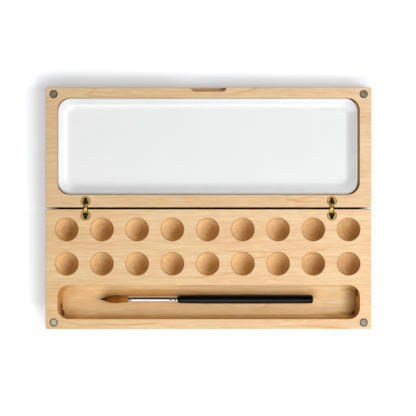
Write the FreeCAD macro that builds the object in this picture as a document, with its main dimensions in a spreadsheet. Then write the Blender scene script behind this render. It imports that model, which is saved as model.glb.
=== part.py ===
import FreeCAD, Part
import os
import re

import Sketcher
from FreeCAD import Placement, Rotation, Vector

# A wooden paint box: two equal leaves that lie open side by side and fold
# face to face. X runs along the hinge line, -Y is the leaf with the paint
# wells (the base), +Y the leaf with the mixing tray (the lid). The origin is
# on the table, under the middle of the gap between the leaves.

SIZES = {
    # leaves
    "leaf_length": 326.0,
    "leaf_width": 120.0,
    "leaf_thickness": 19.0,
    "leaf_gap": 1.8,
    "edge_round": 0.5,
    # paint wells
    "well_radius": 11.7,
    "well_depth": 9.6,
    "well_end_inset": 22.04,
    "well_count": 9.0,
    "row_pitch": 34.3,
    "row_count": 2.0,
    "row_inset": 20.3,
    "well_shift": 1.0,
    # brush trough
    "trough_end_wall": 11.75,
    "trough_front_wall": 10.0,
    "trough_land": 9.6,
    "trough_depth": 11.0,
    "trough_corner": 11.0,
    "trough_cove": 5.5,
    # tray pocket in the lid
    "pocket_end_wall": 11.75,
    "pocket_front_wall": 10.6,
    "pocket_hinge_wall": 12.7,
    "pocket_depth": 10.5,
    "pocket_corner": 12.0,
    # finger notch
    "grip_width": 35.6,
    "grip_reach": 4.1,
    "grip_depth": 5.0,
    "grip_corner": 3.8,
    # mixing tray
    "tray_play": 0.4,
    "tray_back_shift": 0.15,
    "tray_end_play": 1.4,
    "tray_shift": 1.1,
    "tray_corner": 13.0,
    "tray_rim_drop": 1.4,
    "tray_rim_width": 1.2,
    "tray_wall_run": 7.2,
    "tray_floor": 3.0,
    "tray_floor_round": 8.0,
    "tray_rim_round": 0.5,
    "tray_foot_round": 2.0,
    # magnets
    "magnet_radius": 4.0,
    "magnet_height": 3.0,
    "magnet_fit": 0.12,
    "magnet_end_inset": 8.0,
    "magnet_edge_inset": 6.7,
    # barrel hinges
    "hinge_inset": 39.8,
    "barrel_offset": 7.2,
    "barrel_radius": 5.0,
    "barrel_length": 13.0,
    "barrel_fit": 0.04,
    "barrel_chamfer": 0.6,
    "slot_width": 3.3,
    "slot_back": 3.3,
    "slot_depth": 10.2,
    "mouth_width": 4.8,
    "mouth_depth": 5.4,
    # hinge links
    "link_thickness": 1.5,
    "link_gap": 0.06,
    "arm_radius": 0.85,
    "eye_radius": 1.1,
    "pivot_offset": 3.4,
    "pivot_drop": 1.936,
    "centre_drop": 1.434,
    "centre_run": 1.71,
    "centre_fall": 0.67,
    "centre_play": 0.31,
    "centre_wall": 0.4,
    "slide_offset": 7.02,
    "slide_drop": 7.13,
    "pin_radius": 0.5,
    "pin_clearance": 0.04,
    "slide_pin_radius": 0.4,
    "slide_pin_play": 0.2,
    "groove_reach": 2.75,
    "groove_lead": 2.38,
    "groove_trail": 0.52,
    "groove_depth": 9.6,
    "groove_corner": 0.4,
    # brush
    "brush_lead": 42.05,
    "brush_inset": 14.25,
    "brush_rest": 0.3,
    "hair_length": 28.6,
    "hair_belly": 4.0,
    "hair_root": 2.95,
    "hair_plug": 6.0,
    "ferrule_length": 49.6,
    "ferrule_neck": 2.75,
    "ferrule_mouth": 3.0,
    "ferrule_wall": 0.35,
    "ferrule_bead": 0.35,
    "handle_length": 135.8,
    "handle_radius": 4.6,
    "handle_end": 4.3,
    "handle_tenon": 14.0,
    "handle_round": 1.8,
}

doc = FreeCAD.newDocument("paint_box")
sheet = doc.addObject("Spreadsheet::Sheet", "Sizes")
for row, (alias, value) in enumerate(SIZES.items(), start=1):
    sheet.set(f"A{row}", alias)
    sheet.set(f"B{row}", str(value))
    sheet.setAlias(f"B{row}", alias)
doc.recompute()


def tied(text):
    """The expression with every size named as the sheet's own."""
    return re.sub(r"[a-z][a-z_]*", lambda m: ("Sizes." if m[0] in SIZES else "") + m[0], text)


def at(text):
    return float(sheet.evalExpression(tied(text)))


def bind(item, prop, text):
    item.setExpression(prop, tied(text))


# ---------------------------------------------------------------- sketches

def newSketch(body, name, role, x=None, y=None, z=None):
    sketch = body.newObject("Sketcher::SketchObject", name)
    plane = next(f for f in body.Origin.OriginFeatures if f.Role == role)
    sketch.AttachmentSupport = [(plane, "")]
    sketch.MapMode = "FlatFace"
    for axis, text in (("x", x), ("y", y), ("z", z)):
        if text:
            bind(sketch, f"AttachmentOffset.Base.{axis}", text)
    return sketch


def size(sketch, kind, refs, text):
    """One driving dimension; a negative one is measured the other way."""
    value = at(text)
    if value < 0:
        refs = refs[2:] + refs[:2]
        value, text = -value, f"-({text})"
    index = sketch.addConstraint(Sketcher.Constraint(kind, *refs, value))
    bind(sketch, f"Constraints[{index}]", text)


def locate(sketch, geo, pos, x=None, y=None):
    for kind, axis, text in (("DistanceX", -2, x), ("DistanceY", -1, y)):
        if text == "0":
            sketch.addConstraint(Sketcher.Constraint("PointOnObject", geo, pos, axis))
        elif text:
            size(sketch, kind, (-1, 1, geo, pos), text)


def line(sketch, a, b):
    return sketch.addGeometry(Part.LineSegment(Vector(*a, 0), Vector(*b, 0)), False)


def arc(sketch, centre, radius, start, end):
    ring = Part.Circle(Vector(*centre, 0), Vector(0, 0, 1), radius)
    turn = 0.017453292519943295
    return sketch.addGeometry(Part.ArcOfCircle(ring, start * turn, end * turn), False)


def circle(sketch, x, y, radius):
    ring = Part.Circle(Vector(at(x), at(y), 0), Vector(0, 0, 1), at(radius))
    geo = sketch.addGeometry(ring, False)
    locate(sketch, geo, 3, x, y)
    size(sketch, "Radius", (geo,), radius)


def outline(sketch, points):
    """A closed outline of straight lines; each point is a pair of texts."""
    spots = [(at(x), at(y)) for x, y in points]
    count = len(spots)
    geos = [line(sketch, spots[i], spots[(i + 1) % count]) for i in range(count)]
    for i, geo in enumerate(geos):
        sketch.addConstraint(Sketcher.Constraint("Coincident", geo, 2, geos[(i + 1) % count], 1))
        locate(sketch, geo, 1, *points[i])


def rectangle(sketch, left, right, low, high, corners=None):
    """A rectangle; corners gives the four radii, from low left anticlockwise, or None."""
    xa, xb, ya, yb = at(left), at(right), at(low), at(high)
    if corners is None:
        outline(sketch, [(left, low), (right, low), (right, high), (left, high)])
        return
    r = [at(text) for text in corners]
    lines = [
        line(sketch, (xa + r[0], ya), (xb - r[1], ya)),
        line(sketch, (xb, ya + r[1]), (xb, yb - r[2])),
        line(sketch, (xb - r[2], yb), (xa + r[3], yb)),
        line(sketch, (xa, yb - r[3]), (xa, ya + r[0])),
    ]
    arcs = [
        arc(sketch, (xa + r[0], ya + r[0]), r[0], 180, 270),
        arc(sketch, (xb - r[1], ya + r[1]), r[1], 270, 360),
        arc(sketch, (xb - r[2], yb - r[2]), r[2], 0, 90),
        arc(sketch, (xa + r[3], yb - r[3]), r[3], 90, 180),
    ]
    for i in range(4):
        sketch.addConstraint(Sketcher.Constraint("Tangent", lines[i - 1], 2, arcs[i], 1))
        sketch.addConstraint(Sketcher.Constraint("Tangent", arcs[i], 2, lines[i], 1))
        size(sketch, "Radius", (arcs[i],), corners[i])
    for i, kind in enumerate(("Horizontal", "Vertical", "Horizontal", "Vertical")):
        sketch.addConstraint(Sketcher.Constraint(kind, lines[i]))
    locate(sketch, lines[0], 1, None, low)
    locate(sketch, lines[1], 1, right, None)
    locate(sketch, lines[2], 1, None, high)
    locate(sketch, lines[3], 1, left, None)


def capsule(sketch, a, b, radius):
    """A bar with round ends centred on two points."""
    ax, ay, bx, by = at(a[0]), at(a[1]), at(b[0]), at(b[1])
    r = at(radius)
    way = Vector(bx - ax, by - ay, 0).normalize()
    side = Vector(-way.y, way.x, 0)
    heading = Vector(1, 0, 0).getAngle(way) * 57.29577951308232
    heading = heading if way.y >= 0 else -heading
    first = arc(sketch, (ax, ay), r, heading + 90, heading + 270)
    second = arc(sketch, (bx, by), r, heading - 90, heading + 90)
    low = line(sketch, (ax - r * side.x, ay - r * side.y), (bx - r * side.x, by - r * side.y))
    high = line(sketch, (bx + r * side.x, by + r * side.y), (ax + r * side.x, ay + r * side.y))
    for one, end, other, start in ((first, 2, low, 1), (low, 2, second, 1),
                                   (second, 2, high, 1), (high, 2, first, 1)):
        sketch.addConstraint(Sketcher.Constraint("Tangent", one, end, other, start))
    locate(sketch, first, 3, *a)
    locate(sketch, second, 3, *b)
    size(sketch, "Radius", (first,), radius)


# ---------------------------------------------------------------- features

def newBody(name):
    body = doc.addObject("PartDesign::Body", name)
    body.Label = name
    return body


def pad(body, sketch, length, both=False, back=False):
    feature = body.newObject("PartDesign::Pad", sketch.Name + "_pad")
    feature.Profile = sketch
    feature.SideType = "Symmetric" if both else "One side"
    feature.Reversed = back
    bind(feature, "Length", length)
    doc.recompute()
    return feature


def removes(body, feature, before):
    doc.recompute()
    if not feature.Shape.Volume < before - 1e-6:
        raise RuntimeError(f"{feature.Name} cuts nothing from {body.Label}")
    return feature


def pocket(body, sketch, depth, both=False, back=False):
    before = body.Shape.Volume
    feature = body.newObject("PartDesign::Pocket", sketch.Name + "_cut")
    feature.Profile = sketch
    feature.SideType = "Symmetric" if both else "One side"
    feature.Reversed = back
    bind(feature, "Length", depth)
    return removes(body, feature, before)


def dress(body, kind, name, test, prop, text):
    """A fillet or chamfer on the edges of the body that pass the test."""
    doc.recompute()
    edges = [f"Edge{i}" for i, edge in enumerate(body.Tip.Shape.Edges, start=1) if test(edge)]
    if not edges:
        raise RuntimeError(f"{name} finds no edge")
    feature = body.newObject(f"PartDesign::{kind}", name)
    feature.Base = (feature.BaseFeature or body.Tip, edges)
    bind(feature, prop, text)
    doc.recompute()
    return feature


def flatAt(axis, height):
    """A test for edges that lie in the plane axis = height, in the body's own frame."""
    def test(edge):
        box = edge.BoundBox
        low, high = getattr(box, axis + "Min"), getattr(box, axis + "Max")
        return abs(low - height) < 1e-4 and abs(high - height) < 1e-4
    return test


def spread(text):
    """The same text for the left and the right hand."""
    return (f"-({text})", text)


# ------------------------------------------------------------------ leaves

HINGE_X = "(leaf_length / 2 - hinge_inset)"


def leafBlock(name, side):
    """A plain board with eased edges; side is -1 for the base and 1 for the lid."""
    body = newBody(name)
    near, far = "leaf_gap / 2", "leaf_gap / 2 + leaf_width"
    ends = (f"-({far})", f"-({near})") if side < 0 else (near, far)
    section = newSketch(body, name + "_section", "YZ_Plane")
    rectangle(section, ends[0], ends[1], "0", "leaf_thickness", ["edge_round"] * 4)
    pad(body, section, "leaf_length", both=True)
    end = at("leaf_length / 2")
    dress(body, "Fillet", name + "_ends", lambda e: flatAt("X", end)(e) or flatAt("X", -end)(e),
          "Radius", "edge_round * 0.9")
    return body


def faceSketch(body, name):
    """A sketch on the leaf's upper face."""
    return newSketch(body, f"{body.Name}_{name}", "XY_Plane", z="leaf_thickness")


def hingeSeats(body, side):
    """The two round bores for the barrels and the mouths that let the links through."""
    sign = "-" if side < 0 else ""
    bores = faceSketch(body, "bores")
    for x in spread(HINGE_X):
        circle(bores, x, f"{sign}barrel_offset", "barrel_radius + barrel_fit")
    pocket(body, bores, "barrel_length")
    mouths = faceSketch(body, "mouths")
    for x in spread(HINGE_X):
        inner, outer = f"{sign}barrel_offset", f"{sign}(leaf_gap / 4)"
        low, high = (inner, outer) if side < 0 else (outer, inner)
        rectangle(mouths, f"{x} - mouth_width / 2", f"{x} + mouth_width / 2", low, high)
    pocket(body, mouths, "mouth_depth")


def magnetSeats(body, side):
    sign = "-" if side < 0 else ""
    seats = faceSketch(body, "magnet_seats")
    for x in spread("leaf_length / 2 - magnet_end_inset"):
        circle(seats, x, f"{sign}(leaf_gap / 2 + leaf_width - magnet_edge_inset)",
               "magnet_radius + magnet_fit")
    pocket(body, seats, "magnet_height")


def paintWells(body):
    """Bowls turned in two rows: one revolved cut, repeated along the leaf and across it."""
    before = body.Shape.Volume
    profile = newSketch(body, "base_well", "XZ_Plane", y="leaf_thickness",
                        x="-(leaf_length / 2 - well_end_inset + well_shift)",
                        z="leaf_gap / 2 + row_inset")
    r, d = at("well_radius"), at("well_depth")
    bowl = (r * r + d * d) / (2 * d)
    low = Vector(0, -d, 0)
    rim = Vector(r, 0, 0)
    middle = Vector(bowl * 0.7071, bowl - d - bowl * 0.7071, 0)
    curve = profile.addGeometry(Part.Arc(low, middle, rim), False)
    lines = [line(profile, (r, 0), (r, 1)), line(profile, (r, 1), (0, 1)),
             line(profile, (0, 1), (0, -d))]
    ends = [1, 2] if profile.Geometry[curve].StartPoint.y < -d / 2 else [2, 1]
    join = ((curve, ends[1], lines[0], 1), (lines[0], 2, lines[1], 1),
            (lines[1], 2, lines[2], 1), (lines[2], 2, curve, ends[0]))
    for pair in join:
        profile.addConstraint(Sketcher.Constraint("Coincident", *pair))
    profile.addConstraint(Sketcher.Constraint("PointOnObject", curve, 3, -2))
    profile.addConstraint(Sketcher.Constraint("PointOnObject", curve, ends[0], -2))
    profile.addConstraint(Sketcher.Constraint("PointOnObject", curve, ends[1], -1))
    profile.addConstraint(Sketcher.Constraint("Vertical", lines[0]))
    profile.addConstraint(Sketcher.Constraint("Horizontal", lines[1]))
    profile.addConstraint(Sketcher.Constraint("PointOnObject", lines[1], 2, -2))
    size(profile, "DistanceX", (-1, 1, curve, ends[1]), "well_radius")
    size(profile, "DistanceY", (-1, 1, curve, ends[0]), "-well_depth")
    size(profile, "DistanceY", (-1, 1, lines[0], 2), "well_depth / 8")
    groove = body.newObject("PartDesign::Groove", "base_well_cut")
    groove.Profile = profile
    groove.ReferenceAxis = (profile, ["V_Axis"])
    groove.Angle = 360
    removes(body, groove, before)
    rows = body.newObject("PartDesign::LinearPattern", "base_well_rows")
    rows.Originals = [groove]
    axes = {f.Role: f for f in body.Origin.OriginFeatures}
    rows.Direction = (axes["X_Axis"], [""])
    rows.Mode = "Extent"
    bind(rows, "Length", "leaf_length - 2 * well_end_inset")
    bind(rows, "Occurrences", "well_count")
    rows.Direction2 = (axes["Y_Axis"], [""])
    rows.Reversed2 = True
    rows.Mode2 = "Extent"
    bind(rows, "Length2", "row_pitch * (row_count - 1)")
    bind(rows, "Occurrences2", "row_count")
    body.Tip = rows
    removes(body, rows, groove.Shape.Volume)


TROUGH_BACK = "leaf_gap / 2 + row_inset + row_pitch * (row_count - 1) + well_radius + trough_land"


def brushTrough(body):
    trough = faceSketch(body, "trough")
    half = "(leaf_length / 2 - trough_end_wall)"
    rectangle(trough, f"-{half}", half, "-(leaf_gap / 2 + leaf_width - trough_front_wall)",
              f"-({TROUGH_BACK})", ["trough_corner"] * 4)
    pocket(body, trough, "trough_depth")
    floor = at("leaf_thickness - trough_depth")
    dress(body, "Fillet", "trough_cove", flatAt("Z", floor), "Radius", "trough_cove")


def baseBlock():
    body = leafBlock("base_block", -1)
    brushTrough(body)
    paintWells(body)
    hingeSeats(body, -1)
    magnetSeats(body, -1)
    return body


POCKET_NEAR = "leaf_gap / 2 + pocket_hinge_wall"
POCKET_FAR = "leaf_gap / 2 + leaf_width - pocket_front_wall"
POCKET_HALF = "(leaf_length / 2 - pocket_end_wall)"


def lidBlock():
    body = leafBlock("lid_block", 1)
    bed = faceSketch(body, "tray_bed")
    rectangle(bed, f"-{POCKET_HALF}", POCKET_HALF, POCKET_NEAR, POCKET_FAR, ["pocket_corner"] * 4)
    pocket(body, bed, "pocket_depth")
    grip = faceSketch(body, "grip")
    edge = "leaf_gap / 2 + leaf_width"
    rectangle(grip, "-grip_width / 2", "grip_width / 2", f"{edge} - grip_reach",
              f"{edge} + grip_reach", ["grip_corner"] * 4)
    pocket(body, grip, "grip_depth")
    hingeSeats(body, 1)
    magnetSeats(body, 1)
    return body


# ------------------------------------------------------------ mixing tray

def mixingTray():
    """A glazed dish with a raised rim, sloping walls and a coved floor."""
    body = newBody("mixing_tray")
    left = f"-({POCKET_HALF} - tray_end_play) - tray_shift"
    right = f"{POCKET_HALF} - tray_end_play - tray_shift"
    low = f"{POCKET_NEAR} + tray_play + tray_back_shift"
    high = f"{POCKET_FAR} - tray_play + tray_back_shift"
    foot = "leaf_thickness - pocket_depth"
    rim = "leaf_thickness - tray_rim_drop"
    slab = newSketch(body, "tray_slab", "XY_Plane", z=foot)
    rectangle(slab, left, right, low, high, ["tray_corner"] * 4)
    pad(body, slab, f"({rim}) - ({foot})")

    def ring(name, height, inset, corner):
        sketch = newSketch(body, name, "XY_Plane", z=height)
        rectangle(sketch, f"{left} + {inset}", f"{right} - {inset}", f"{low} + {inset}",
                  f"{high} - {inset}", [corner] * 4)
        return sketch

    top = ring("tray_lip", rim, "tray_rim_width", "tray_corner - tray_rim_width")
    run = "(tray_rim_width + tray_wall_run)"
    bottom = ring("tray_well", f"{foot} + tray_floor", run, "tray_corner - tray_rim_width")
    before = body.Shape.Volume
    dish = body.newObject("PartDesign::SubtractiveLoft", "tray_dish")
    dish.Profile = top
    dish.Sections = [bottom]
    dish.Ruled = True
    removes(body, dish, before)
    floor, lip = at(f"{foot} + tray_floor"), at(rim)
    dress(body, "Fillet", "tray_floor_cove", flatAt("Z", floor), "Radius", "tray_floor_round")
    dress(body, "Fillet", "tray_lip_ease", flatAt("Z", lip), "Radius", "tray_rim_round")
    base = at(foot)
    dress(body, "Fillet", "tray_foot_ease", flatAt("Z", base), "Radius", "tray_foot_round")
    return body


# ----------------------------------------------------------------- hinges
# Each barrel hinge is drawn about the point where the gap's middle plane
# meets the leaves' face: the base barrel lies at -Y, its pivot is at
# (-pivot_offset, -pivot_drop), the links cross on the centre pin at
# (0, -centre_drop), and the far end of each link slides in a groove of the
# other barrel. The lid's half is the same thing turned half round about Z,
# but its link has a short slot for the centre pin, because the lid turns
# about one fixed line.

REACH = "sqrt(barrel_radius ^ 2 - (barrel_offset - pivot_offset + pin_radius) ^ 2)"
PIVOT = ("-pivot_offset", "-pivot_drop")
CENTRE = ("0", "-centre_drop")
RUNOUT = ("centre_run", "-(centre_drop + centre_fall)")
SLIDE = ("slide_offset", "-slide_drop")


def seat(item, hand, turned, spin=None):
    """Puts a hinge piece at its place; turned pieces belong to the lid's half."""
    about = Rotation(Vector(0, 0, 1), 180 if turned else 0)
    item.Placement = Placement(Vector(0, 0, 0), about * (spin or Rotation()))
    bind(item, "Placement.Base.x", f"{hand}({HINGE_X})")
    bind(item, "Placement.Base.z", "leaf_thickness")


def barrel(name, hand, turned):
    body = newBody(name)
    ring = newSketch(body, name + "_ring", "XY_Plane")
    circle(ring, "0", "-barrel_offset", "barrel_radius")
    pad(body, ring, "barrel_length", back=True)
    dress(body, "Chamfer", name + "_chamfer", flatAt("Z", 0), "Size", "barrel_chamfer")
    slot = newSketch(body, name + "_slot", "XY_Plane")
    rectangle(slot, "-slot_width / 2", "slot_width / 2", "-(barrel_offset + slot_back)",
              "-(barrel_offset - barrel_radius - slot_back)")
    pocket(body, slot, "slot_depth")
    grooves = newSketch(body, name + "_grooves", "XY_Plane")
    rectangle(grooves, "-groove_reach", "groove_reach", "-(slide_offset + groove_trail)",
              "-(slide_offset - groove_lead)", ["groove_corner"] * 4)
    pocket(body, grooves, "groove_depth")
    hole = newSketch(body, name + "_pivot_hole", "YZ_Plane")
    circle(hole, *PIVOT, "pin_radius")
    pocket(body, hole, REACH)
    seat(body, hand, turned)
    return body


def link(name, hand, turned):
    """A bent lever: pivot eye, centre eye and the long arm to the slide eye."""
    body = newBody(name)
    face = "-link_gap / 2"

    def layer(part):
        return newSketch(body, f"{name}_{part}", "YZ_Plane", z=face)

    short = layer("short_arm")
    capsule(short, PIVOT, CENTRE, "arm_radius")
    pad(body, short, "link_thickness", back=True)
    long = layer("long_arm")
    capsule(long, CENTRE, SLIDE, "arm_radius")
    pad(body, long, "link_thickness", back=True)
    eyes = layer("eyes")
    for spot in (PIVOT, CENTRE, SLIDE):
        circle(eyes, *spot, "eye_radius")
    pad(body, eyes, "link_thickness", back=True)
    if turned:
        boss = layer("slot_boss")
        capsule(boss, CENTRE, RUNOUT, "pin_radius + centre_play + centre_wall")
        pad(body, boss, "link_thickness", back=True)
    holes = layer("holes")
    circle(holes, *PIVOT, "pin_radius + pin_clearance")
    if turned:
        capsule(holes, CENTRE, RUNOUT, "pin_radius + centre_play")
    else:
        circle(holes, *CENTRE, "pin_radius")
    circle(holes, *SLIDE, "slide_pin_radius")
    pocket(body, holes, "link_thickness")
    seat(body, hand, turned)
    return body


def pin(name, hand, turned, y, z, radius, start, length):
    """A round pin along X: it starts at x = start and runs to -X by its length."""
    item = doc.addObject("Part::Cylinder", name)
    item.Label = name
    about = Rotation(Vector(0, 0, 1), 180 if turned else 0)
    item.Placement = Placement(Vector(0, 0, 0), about * Rotation(Vector(0, 1, 0), -90))
    side = "-" if turned else ""
    bind(item, "Placement.Base.x", f"{hand}({HINGE_X}) + {side}({start})")
    bind(item, "Placement.Base.y", f"{side}({y})")
    bind(item, "Placement.Base.z", f"leaf_thickness + ({z})")
    bind(item, "Radius", radius)
    bind(item, "Height", length)
    return item


def hinge(word, hand):
    """One whole barrel hinge of nine pieces."""
    pieces = []
    for half, turned in (("base", False), ("lid", True)):
        pieces.append(barrel(f"{word}_{half}_barrel", hand, turned))
        pieces.append(link(f"{word}_{half}_link", hand, turned))
        pieces.append(pin(f"{word}_{half}_pivot_pin", hand, turned, *PIVOT, "pin_radius",
                          "-link_gap / 2", f"{REACH} - link_gap / 2"))
        pieces.append(pin(f"{word}_{half}_slide_pin", hand, turned, "-slide_offset",
                          "-slide_drop", "slide_pin_radius", "groove_reach - slide_pin_play",
                          "2 * (groove_reach - slide_pin_play)"))
    pieces.append(pin(f"{word}_centre_pin", hand, False, *CENTRE, "pin_radius",
                      "link_gap / 2 + link_thickness", "link_gap + 2 * link_thickness"))
    return pieces


# ---------------------------------------------------------------- magnets

def magnet(name, hand, side):
    item = doc.addObject("Part::Cylinder", name)
    item.Label = name
    bind(item, "Radius", "magnet_radius")
    bind(item, "Height", "magnet_height")
    bind(item, "Placement.Base.x", f"{hand}(leaf_length / 2 - magnet_end_inset)")
    bind(item, "Placement.Base.y", f"{side}(leaf_gap / 2 + leaf_width - magnet_edge_inset)")
    bind(item, "Placement.Base.z", "leaf_thickness - magnet_height")
    return item


# ------------------------------------------------------------------ brush
# The brush is drawn along X with its hair to -X and x = 0 at the mouth of
# the ferrule, and lies on the floor of the trough.

def lay(body):
    bind(body, "Placement.Base.x", "hair_length + brush_lead - (leaf_length / 2 - trough_end_wall)")
    bind(body, "Placement.Base.y", f"-({TROUGH_BACK} + brush_inset)")
    bind(body, "Placement.Base.z", "leaf_thickness - trough_depth + brush_rest + handle_radius")
    return body


def turned(body, points):
    """A solid turned about X from an outline of straight lines."""
    profile = newSketch(body, body.Name + "_profile", "XZ_Plane")
    outline(profile, points)
    feature = body.newObject("PartDesign::Revolution", body.Name + "_turned")
    feature.Profile = profile
    feature.ReferenceAxis = (profile, ["H_Axis"])
    feature.Angle = 360
    doc.recompute()
    return feature


def brushHair():
    body = newBody("brush_hair")
    long, belly, plug = "-hair_length", "hair_belly", "ferrule_neck - ferrule_wall"
    turned(body, [(long, "0"), (long, f"{belly} * 0.07"), (f"{long} * 0.88", f"{belly} * 0.36"),
                  (f"{long} * 0.7", f"{belly} * 0.76"), (f"{long} * 0.5", belly),
                  (f"{long} * 0.3", f"{belly} * 0.98"), (f"{long} * 0.12", f"{belly} * 0.84"),
                  ("0", "hair_root"), ("0", plug), ("hair_plug", plug), ("hair_plug", "0")])
    return lay(body)


def brushFerrule():
    body = newBody("brush_ferrule")
    neck, mouth = "ferrule_neck", "ferrule_mouth"
    bead, end = "ferrule_bead", "ferrule_length"
    slope = f"({mouth} - {neck}) / {end}"

    def skin(x, lift):
        return (x, f"{neck} + ({x}) * {slope} + {lift}")

    bore, wide = f"{neck} - ferrule_wall", f"{mouth} - ferrule_wall"
    tenon = f"{end} - handle_tenon"
    points = [("0", bore), ("0", neck)]
    for middle, lift in ((f"{bead} * 8", bead), (f"{end} * 0.85", f"-{bead} / 2"),
                         (f"{end} * 0.95", f"-{bead} / 2")):
        points += [skin(f"{middle} - {bead} * 1.5", "0"), skin(middle, lift),
                   skin(f"{middle} + {bead} * 1.5", "0")]
    points += [(end, mouth), (end, wide), (tenon, wide), (tenon, bore)]
    turned(body, points)
    return lay(body)


def brushHandle():
    body = newBody("brush_handle")
    tenon = "ferrule_mouth - ferrule_wall"
    start, total = "ferrule_length", "ferrule_length + handle_length"
    points = [(f"{start} - handle_tenon", "0"), (f"{start} - handle_tenon", tenon),
              (start, tenon), (start, "ferrule_mouth * 1.15"),
              (f"{start} + handle_length * 0.03", "handle_radius * 0.93"),
              (f"{start} + handle_length * 0.18", "handle_radius"),
              (f"{start} + handle_length * 0.6", "handle_radius"),
              (total, "handle_end"), (total, "0")]
    turned(body, points)
    dress(body, "Fillet", "handle_tip", flatAt("X", at(total)), "Radius", "handle_round")
    return lay(body)


# ------------------------------------------------------------------ build

nodes = [baseBlock(), lidBlock(), mixingTray()]
for word, hand in (("left", "-"), ("right", "")):
    nodes.append(magnet(f"base_magnet_{word}", hand, "-"))
    nodes.append(magnet(f"lid_magnet_{word}", hand, ""))
    nodes += hinge(word, hand)
nodes += [brushHair(), brushFerrule(), brushHandle()]
doc.recompute()

for item in doc.Objects:
    if {"Invalid", "Error"} & set(item.State):
        raise RuntimeError(f"{item.Label} failed: {item.State}")
os.makedirs("parts", exist_ok=True)
for node in nodes:
    shape = node.Shape
    if shape.isNull() or not shape.isValid() or len(shape.Solids) != 1:
        raise RuntimeError(f"{node.Label} is not one valid solid")
for node in nodes:
    node.Shape.exportStep(f"parts/{node.Label}.step")
    print(f"{node.Label}: {node.Shape.Volume:.1f} mm3")
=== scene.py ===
import bpy
import bmesh
import math
import random
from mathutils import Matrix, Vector


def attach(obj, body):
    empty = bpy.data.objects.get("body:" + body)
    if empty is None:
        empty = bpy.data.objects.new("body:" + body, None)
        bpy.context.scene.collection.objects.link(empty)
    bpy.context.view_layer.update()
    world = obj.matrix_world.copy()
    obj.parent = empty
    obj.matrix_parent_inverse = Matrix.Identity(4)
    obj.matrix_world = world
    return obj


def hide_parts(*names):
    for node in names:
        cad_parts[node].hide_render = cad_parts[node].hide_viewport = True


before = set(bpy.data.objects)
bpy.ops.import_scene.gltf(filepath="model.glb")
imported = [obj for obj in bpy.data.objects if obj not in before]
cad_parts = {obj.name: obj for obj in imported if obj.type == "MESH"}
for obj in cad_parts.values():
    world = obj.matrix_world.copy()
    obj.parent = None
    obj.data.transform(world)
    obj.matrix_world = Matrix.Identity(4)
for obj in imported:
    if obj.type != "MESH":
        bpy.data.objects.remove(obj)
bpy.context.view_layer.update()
print("paint box frame loaded")


# small helpers for the finishes: a value is an output socket, or a plain number or colour
def newFinish(name):
    material = bpy.data.materials.new(name)
    material.use_nodes = True
    tree = material.node_tree
    return material, tree, tree.nodes["Principled BSDF"]


def feed(tree, socket, value):
    if isinstance(value, bpy.types.NodeSocket):
        tree.links.new(value, socket)
    else:
        socket.default_value = value


def sums(tree, operation, *values, clamp=False):
    node = tree.nodes.new("ShaderNodeMath")
    node.operation = operation
    node.use_clamp = clamp
    for i, value in enumerate(values):
        feed(tree, node.inputs[i], value)
    return node.outputs[0]


def less(tree, value, taken):
    return sums(tree, "SUBTRACT", value, taken)


def sizeOf(tree, value):
    return sums(tree, "ABSOLUTE", value)


def total(tree, first, *others):
    for value in others:
        first = sums(tree, "ADD", first, value)
    return first


def product(tree, first, *others):
    for value in others:
        first = sums(tree, "MULTIPLY", first, value)
    return first


def distance(tree, *parts):
    return sums(tree, "SQRT", total(tree, *[product(tree, part, part) for part in parts]))


def blendColour(tree, share, first, second, way="MIX"):
    node = tree.nodes.new("ShaderNodeMix")
    node.data_type = "RGBA"
    node.blend_type = way
    feed(tree, node.inputs[0], share)
    feed(tree, node.inputs[6], (*first, 1) if isinstance(first, tuple) else first)
    feed(tree, node.inputs[7], (*second, 1) if isinstance(second, tuple) else second)
    return node.outputs[2]


def tinted(tree, share, colour, tint):
    return blendColour(tree, share, colour, tint, "MULTIPLY")


# noise on the piece's own place: cycles per metre along x, y and z
def grain(tree, stretch, detail=3.0, rough=0.55, start=(0, 0, 0)):
    place = tree.nodes.new("ShaderNodeTexCoord")
    mapping = tree.nodes.new("ShaderNodeMapping")
    mapping.inputs["Scale"].default_value = stretch
    mapping.inputs["Location"].default_value = start
    tree.links.new(place.outputs["Object"], mapping.inputs["Vector"])
    noise = tree.nodes.new("ShaderNodeTexNoise")
    noise.inputs["Scale"].default_value = 1
    noise.inputs["Detail"].default_value = detail
    noise.inputs["Roughness"].default_value = rough
    tree.links.new(mapping.outputs["Vector"], noise.inputs["Vector"])
    return noise.outputs["Fac"]


def even(stretch):
    return (stretch, stretch, stretch)


def band(tree, value, low, high, toLow=0.0, toHigh=1.0, smooth=True):
    node = tree.nodes.new("ShaderNodeMapRange")
    node.interpolation_type = "SMOOTHSTEP" if smooth else "LINEAR"
    feed(tree, node.inputs["Value"], value)
    node.inputs["From Min"].default_value = low
    node.inputs["From Max"].default_value = high
    node.inputs["To Min"].default_value = toLow
    node.inputs["To Max"].default_value = toHigh
    return node.outputs["Result"]


# the piece's own place: x, y, z, and x and y without their signs
def places(tree):
    place = tree.nodes.new("ShaderNodeTexCoord")
    split = tree.nodes.new("ShaderNodeSeparateXYZ")
    tree.links.new(place.outputs["Object"], split.inputs[0])
    read = {"x": split.outputs["X"], "y": split.outputs["Y"], "z": split.outputs["Z"]}
    read["sizeX"] = sizeOf(tree, read["x"])
    read["sizeY"] = sizeOf(tree, read["y"])
    return read


# a zone is a list of bands, each (what is read, where it starts, where it is full, and its two levels)
def zone(tree, read, limits):
    return product(tree, *[band(tree, read[what], *levels) for what, *levels in limits])


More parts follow.
